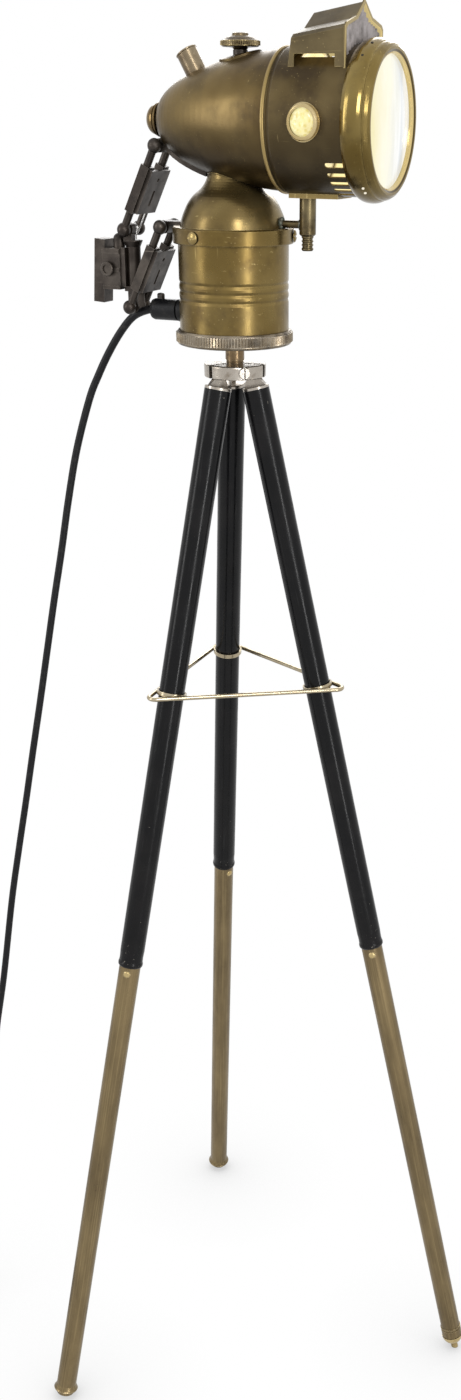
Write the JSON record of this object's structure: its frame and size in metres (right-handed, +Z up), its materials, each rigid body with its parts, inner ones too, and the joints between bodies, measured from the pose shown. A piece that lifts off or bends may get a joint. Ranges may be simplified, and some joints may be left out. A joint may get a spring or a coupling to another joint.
{
  "type": "tripod spotlight floor lamp",
  "caption": "Floor-standing spotlight: a vintage brass carbide lamp, wired for a bulb, on a folding tripod of telescoping brass legs with a rod spreader.",
  "frame": {"origin": "on the floor, under the lamp's vertical axis and the middle of the tripod crown", "axes": "+Z up, +X the way the head shines, +Y to the head's left"},
  "size_m": [0.5372, 0.3883, 1.005],
  "materials": {
    "worn_nickel": "worn nickel with brown patches",
    "steel_bright": "polished steel",
    "enamel_black": "gloss black enamel, chipped at the ends",
    "brass_olive": "dull olive brown brass",
    "brass_gold": "worn golden brass",
    "brass_brown": "dark patinated brass",
    "baffle_grey": "dull grey sheet",
    "frosted_glass": "frosted, lit from behind",
    "jewel_glass": "pale yellow, lit from behind",
    "bulb_glass": "frosted",
    "reflector_silver": "bright",
    "holder_white": "glazed white",
    "steel_dark": "dark oxidised steel",
    "cord_black": "satin black",
    "grip_black": "satin black"
  },
  "bodies": {
    "tripod": {"crown": "worn_nickel", "crown_screw": "worn_nickel", "leg_pins": "steel_bright", "stub": "brass_brown", "stub_nut": "worn_nickel", "cord_drop": "cord_black", "cord_coil": "cord_black", "plug_body": "grip_black", "plug_pins": "steel_bright"},
    "lamp": {"can": "brass_gold", "collar": "brass_gold", "collar_screws": "brass_gold", "bell": "brass_gold", "bullet": "brass_brown", "acorn_nut": "brass_brown", "filler_tube": "brass_gold", "valve_gland": "steel_dark", "drum": "brass_brown", "pipe_saddle": "brass_gold", "gas_pipe": "brass_gold", "hood": "brass_brown", "baffle": "baffle_grey", "jewel_rings": "brass_gold", "jewel_glasses": "jewel_glass", "reflector": "reflector_silver", "bulb_holder": "holder_white", "bulb": "bulb_glass", "inner_flex": "cord_black", "bullet_lug": "steel_dark", "collar_lug": "steel_dark", "front_pins": "steel_bright", "cord_grip": "grip_black", "grip_screw": "steel_dark"},
    "cap": {"base_cap": "brass_gold"},
    "valve": {"valve_knob": "brass_gold"},
    "front": {"bezel": "brass_brown", "front_glass": "frosted_glass", "glass_ring": "brass_gold"},
    "link_top": {"upper_link": "steel_dark"},
    "link_low": {"lower_link": "steel_dark"},
    "carrier": {"rear_block": "steel_dark", "link_spring": "steel_bright", "socket": "steel_dark"},
    "clamp_bolt": {"socket_bolt": "steel_dark"},
    "brace": {"spreader": "steel_bright"},
    "leg_front": {"leg_cap_front": "worn_nickel", "upper_tube_front": "enamel_black"},
    "stage_front": {"lower_tube_front": "brass_olive", "foot_ball_front": "brass_gold"},
    "pip_front": {"catch_front": "brass_gold"},
    "leg_right": {"leg_cap_right": "worn_nickel", "upper_tube_right": "enamel_black"},
    "stage_right": {"lower_tube_right": "brass_olive"},
    "pip_right": {"catch_right": "brass_gold"},
    "tip_right": {"inner_tube_right": "brass_olive"},
    "leg_left": {"leg_cap_left": "worn_nickel", "upper_tube_left": "enamel_black"},
    "stage_left": {"lower_tube_left": "brass_olive"},
    "pip_left": {"catch_left": "brass_gold"},
    "tip_left": {"inner_tube_left": "brass_olive"}
  },
  "joints": [
    {"name": "lamp_swivel", "type": "hinge", "parent": "tripod", "child": "lamp", "pos_m": [0, 0, 0.81228], "axis": [0, 0, 1], "range_deg": [-60, 60], "deforming": ["cord_drop"]},
    {"name": "cap_turn", "type": "hinge", "parent": "lamp", "child": "cap", "pos_m": [0, 0, 0.81098], "axis": [0, 0, 1], "range_deg": [0, 120]},
    {"name": "valve_turn", "type": "hinge", "parent": "lamp", "child": "valve", "pos_m": [0.0063, 0, 0.97948], "axis": [0, 0, 1], "range_deg": [0, 360]},
    {"name": "bezel_pull", "type": "slide", "parent": "lamp", "child": "front", "axis": [1, 0, 0], "range_m": [0, 0.01]},
    {"name": "link_swing", "type": "hinge", "parent": "lamp", "child": "link_top", "pos_m": [-0.0495, 0, 0.92698], "axis": [0, 1, 0], "range_deg": [0, 20], "stiffness_Nm_per_rad": 0.4},
    {"name": "low_swing", "type": "hinge", "parent": "lamp", "child": "link_low", "pos_m": [-0.0475, 0, 0.87998], "axis": [0, 1, 0], "range_deg": [0, 20]},
    {"name": "carrier_level", "type": "hinge", "parent": "link_top", "child": "carrier", "pos_m": [-0.074, 0, 0.87768], "axis": [0, 1, 0], "range_deg": [-20, 0]},
    {"name": "bolt_turn", "type": "hinge", "parent": "carrier", "child": "clamp_bolt", "pos_m": [-0.088, -0.008, 0.85358], "axis": [0, -1, 0], "range_deg": [0, 360]},
    {"name": "front_fold", "type": "hinge", "parent": "tripod", "child": "leg_front", "pos_m": [0.01198, 0.00073, 0.79488], "axis": [-0.061, 0.9981, 0], "range_deg": [0, 2.2]},
    {"name": "front_stage", "type": "slide", "parent": "leg_front", "child": "stage_front", "axis": [-0.222, -0.0136, 0.975], "range_m": [0, 0.3], "deforming": ["catch_front"]},
    {"name": "front_pip", "type": "slide", "parent": "stage_front", "child": "pip_front", "axis": [-0.3108, 0.9487, -0.0576], "range_m": [0, 0.001], "stiffness_N_per_m": 800},
    {"name": "right_fold", "type": "hinge", "parent": "tripod", "child": "leg_right", "pos_m": [-0.00535, -0.01074, 0.79488], "axis": [0.8949, -0.4462, 0], "range_deg": [0, 2.2]},
    {"name": "right_stage", "type": "slide", "parent": "leg_right", "child": "stage_right", "axis": [0.0992, 0.199, 0.975], "range_m": [0, 0.3], "deforming": ["catch_right"]},
    {"name": "right_pip", "type": "slide", "parent": "stage_right", "child": "pip_right", "axis": [-0.2588, 0.9512, -0.1678], "range_m": [0, 0.001], "stiffness_N_per_m": 800},
    {"name": "right_tip", "type": "slide", "parent": "stage_right", "child": "tip_right", "axis": [-0.0992, -0.199, -0.975], "range_m": [0, 0.15]},
    {"name": "left_fold", "type": "hinge", "parent": "tripod", "child": "leg_left", "pos_m": [-0.00662, 0.01001, 0.79488], "axis": [-0.8339, -0.5519, 0], "range_deg": [0, 2.2]},
    {"name": "left_stage", "type": "slide", "parent": "leg_left", "child": "stage_left", "axis": [0.1228, -0.1855, 0.975], "range_m": [0, 0.3], "deforming": ["catch_left"]},
    {"name": "left_pip", "type": "slide", "parent": "stage_left", "child": "pip_left", "axis": [-0.883, 0.4281, 0.1926], "range_m": [0, 0.001], "stiffness_N_per_m": 800},
    {"name": "left_tip", "type": "slide", "parent": "stage_left", "child": "tip_left", "axis": [-0.1228, 0.1855, -0.975], "range_m": [0, 0.15]},
    {"name": "brace_slide", "type": "slide", "parent": "tripod", "child": "brace", "axis": [0, 0, -1], "range_m": [0, 0.0447]}
  ],
  "couplings": [
    {"joint": "low_swing", "follows": "link_swing", "ratio": 1},
    {"joint": "carrier_level", "follows": "link_swing", "ratio": -1},
    {"joint": "right_fold", "follows": "front_fold", "ratio": 1},
    {"joint": "left_fold", "follows": "front_fold", "ratio": 1},
    {"joint": "brace_slide", "follows": "front_fold", "m_per_rad": 1.1379}
  ]
}
